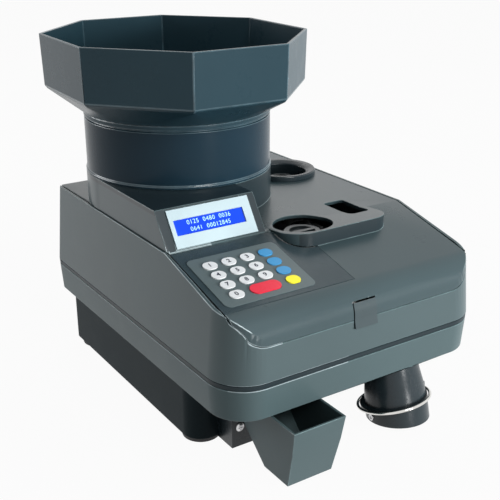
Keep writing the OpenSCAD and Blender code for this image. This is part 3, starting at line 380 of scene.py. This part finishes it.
def softened(node, material, width, segments=2):
    """The node's own shape with its sharp edges eased, as a mould leaves them. Specks in the mesh are
    merged first, because they would spoil the rounding."""
    mesh = nodes[node].data.copy()
    bm = bmesh.new()
    bm.from_mesh(mesh)
    bmesh.ops.remove_doubles(bm, verts=bm.verts, dist=SPECK)
    bmesh.ops.dissolve_degenerate(bm, dist=2 * SPECK, edges=bm.edges)
    bmesh.ops.dissolve_limit(bm, angle_limit=math.radians(0.3), verts=bm.verts, edges=bm.edges)
    bmesh.ops.triangulate(bm, faces=[face for face in bm.faces if len(face.verts) > 4])
    bm.to_mesh(mesh)
    bm.free()
    piece = bpy.data.objects.new(node + "_eased", mesh)
    scene.collection.objects.link(piece)
    mesh.materials.clear()
    mesh.materials.append(material)
    mesh.materials.append(EDGE_FINISH.get(material, material))
    mesh.shade_smooth()
    bevel = piece.modifiers.new("eased", "BEVEL")
    bevel.width, bevel.segments = width, segments
    bevel.limit_method, bevel.angle_limit = "ANGLE", SHARP
    bevel.use_clamp_overlap = node not in UNCLAMPED
    bevel.material = 1
    flat = piece.modifiers.new("even_shading", "WEIGHTED_NORMAL")
    flat.keep_sharp = True
    eased = baked_mesh(piece)
    piece.modifiers.clear()
    piece.data = eased
    ride_on(piece, node)
    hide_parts(node)


def finished(node, material):
    """The node as it is, in its material."""
    nodes[node].data.materials.clear()
    nodes[node].data.materials.append(material)


# Material and width of the eased edges, in metres.
EASED = {
    "hopper": (hopper_plastic, 0.0008), "hopper_neck": (neck_plastic, 0.0005),
    "top_cover": (cover_plastic, 0.0004), "side_shell": (side_plastic, 0.0005),
    "lower_cover": (lower_plastic, 0.0005), "base_chassis": (foot_plastic, 0.0008),
    "seam_strip": (seam_plastic, 0.0003), "reject_cup": (lower_plastic, 0.0006),
    "reject_chute": (dark_plastic, 0.0006), "coin_tube": (dark_plastic, 0.0005),
    "knob_bezel": (dark_plastic, 0.0004), "front_latch": (latch_plastic, 0.0005),
    "control_panel": (panel_film, 0.0002), "display_bezel": (bezel_film, 0.0003),
    "diameter_knob": (knob_plastic, 0.0003), "thickness_knob": (knob_plastic, 0.0003),
    "feed_pan": (dark_plastic, 0.0005), "feed_disc": (sheet_steel, 0.0003), "disc_pad": (rubber, 0.0002),
    "deck_plate": (sheet_steel, 0.0003), "fixed_rail": (sheet_steel, 0.0003),
    "sliding_rail": (sheet_steel, 0.0002), "power_inlet": (gloss_black, 0.0004),
    "switch_housing": (gloss_black, 0.0004), "switch_rocker": (rocker_red, 0.0004),
    "coin_sensor": (dark_plastic, 0.0004), "reject_gate": (brass, 0.0002),
    "drive_motor": (turned_steel, 0.0004), "rubber_feet": (rubber, 0.0003),
}
for name, (material, width) in EASED.items():
    softened(name, material, width)

COLORED_KEYS = {
    "key_blue_top": blue_key, "key_blue_middle": blue_key, "key_blue_bottom": blue_key,
    "key_red": red_key, "key_yellow": yellow_key,
}
keys = sorted(name for name in nodes if name.startswith("key_"))
for name in keys:
    softened(name, COLORED_KEYS.get(name, white_key), 0.00035, segments=3)

UNCHANGED = {
    "disc_cone": turned_steel, "feed_shaft": turned_steel, "shaft_bearing": brass,
    "disc_pulley": dark_plastic, "motor_pulley": brass, "drive_belt": rubber,
    "transport_wheel": rubber, "deck_posts": brass,
    "main_board": board, "keypad_board": board, "case_screws": turned_steel, "tube_rivet": turned_steel,
    "hinge_pins": turned_steel, "bag_ring": polished_wire, "keypad_overlay": keypad_film, "lcd_panel": screen,
}
for name, material in UNCHANGED.items():
    finished(name, material)


# ---------------------------------------------------------------- printed and lit characters

def lettering(name, words, where, material, node, height, depth, spacing=1.0, boldness=0.0):
    """Thin raised characters, centred on the frame given by where."""
    curve = bpy.data.curves.new(name, "FONT")
    curve.body = words
    curve.size = height
    curve.extrude = depth
    curve.align_x, curve.align_y = "CENTER", "CENTER"
    curve.space_character = spacing
    curve.offset = boldness
    holder = bpy.data.objects.new(name + "_line", curve)
    scene.collection.objects.link(holder)
    mesh = baked_mesh(holder)
    bpy.data.objects.remove(holder)
    mesh.transform(where)
    mesh.materials.clear()
    mesh.materials.append(material)
    piece = bpy.data.objects.new(name, mesh)
    scene.collection.objects.link(piece)
    ride_on(piece, node)


def on_face(node, spot, tilt, lift):
    """Frame a little above a node's tilted face, level with a spot: X right, Y up the face, Z out."""
    out = Vector((0, -math.sin(tilt), math.cos(tilt)))
    top = max(v.co.dot(out) for v in nodes[node].data.vertices)
    return Matrix.Translation(spot + out * (top - spot.dot(out) + lift)) @ Matrix.Rotation(tilt, 4, "X")


def number_keys():
    """A printed digit on each of the ten white keys."""
    for name in keys:
        digit = name.removeprefix("key_")
        if digit.isdigit():
            low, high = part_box(name)
            where = on_face(name, (low + high) / 2, SLOPE, lift=0.00002)
            lettering(name + "_digit", digit, where, ink, name, height=0.0058, depth=0.00008,
                      boldness=0.00012)


def show_counts():
    """Two rows of figures on the display."""
    up = Vector((0, math.cos(FACE), math.sin(FACE)))
    face_foot = Vector((-0.06486, -0.0593, 0.1563))
    middle = face_foot + up * 0.0179
    rows = {"upper": (0.0029, "0125  0480  0036"), "lower": (-0.0029, "0641  00012845")}
    for row, (rise, words) in rows.items():
        where = on_face("lcd_panel", middle + up * rise, FACE, lift=0.00003)
        lettering("lit_row_" + row, words, where, lit_ink, "lcd_panel", height=0.0050, depth=0.00003,
                  spacing=1.12)


number_keys()
show_counts()


# ---------------------------------------------------------------- floor and light

def stage_floor():
    """A pale floor that takes shadows, and that the camera, reflections and glass see nearly white."""
    mesh = bpy.data.meshes.new("floor")
    bm = bmesh.new()
    bmesh.ops.create_circle(bm, cap_ends=True, radius=9, segments=96)
    bm.to_mesh(mesh)
    bm.free()
    floor = bpy.data.objects.new("floor", mesh)
    scene.collection.objects.link(floor)
    f = Finish("pale_floor", (0.38, 0.38, 0.38), 0.6)
    lit = Value(f, f.shader.outputs[0])
    white = f.node("ShaderNodeEmission", {}, {"Color": (1, 1, 1, 1), "Strength": 1.0})
    f.blend_into("Material Output", f.in_view() * 0.95, lit, white)
    mesh.materials.append(f.material)


def soft_light(name, where, toward, width, height, power, tone=(1, 1, 1), glint=True):
    """A rectangular lamp in watts. Without glint, it lights surfaces and isn't mirrored in them."""
    data = bpy.data.lights.new(name, "AREA")
    data.shape = "RECTANGLE"
    data.size, data.size_y = width, height
    data.energy = power
    data.color = tone
    lamp = bpy.data.objects.new(name, data)
    lamp.location = where
    lamp.visible_glossy = glint
    aim = Vector(toward) - Vector(where)
    lamp.rotation_mode = "QUATERNION"
    lamp.rotation_quaternion = aim.to_track_quat("-Z", "Y")
    scene.collection.objects.link(lamp)


def room_light():
    """A weak even light, which the camera, reflections and glass see as white."""
    world = bpy.data.worlds.new("room")
    scene.world = world
    room = Shading(world)
    background = room.tree.nodes["Background"]
    background.inputs["Color"].default_value = (0.93, 0.97, 1.0, 1)
    background.inputs["Strength"].default_value = 0.15
    faint = Value(room, background.outputs[0])
    white = room.node("ShaderNodeBackground", {}, {"Color": (1, 1, 1, 1)})
    room.blend_into("World Output", room.in_view(), faint, white)


stage_floor()
room_light()
soft_light("left_softbox", (-1.35, 1.25, 0.55), (0, 0, 0.12), 1.1, 0.9, 18, (0.97, 0.98, 1.0))
soft_light("back_softbox", (0.75, 1.2, 1.3), (0, 0, 0.15), 0.9, 0.8, 4)
soft_light("top_softbox", (0.75, -0.15, 1.8), (0, 0, 0.1), 1.3, 1.1, 5, glint=False)
soft_light("low_softbox", (1.40, -1.70, 0.36), (0, -0.1, 0.12), 1.5, 0.6, 92, glint=False)
soft_light("front_softbox", (0.02, -1.6, 1.45), (0, 0, 0.15), 0.6, 0.6, 18)
soft_light("catch_light", (0.22, -1.5, 0.16), (0, 0, 0.16), 0.16, 0.24, 3)
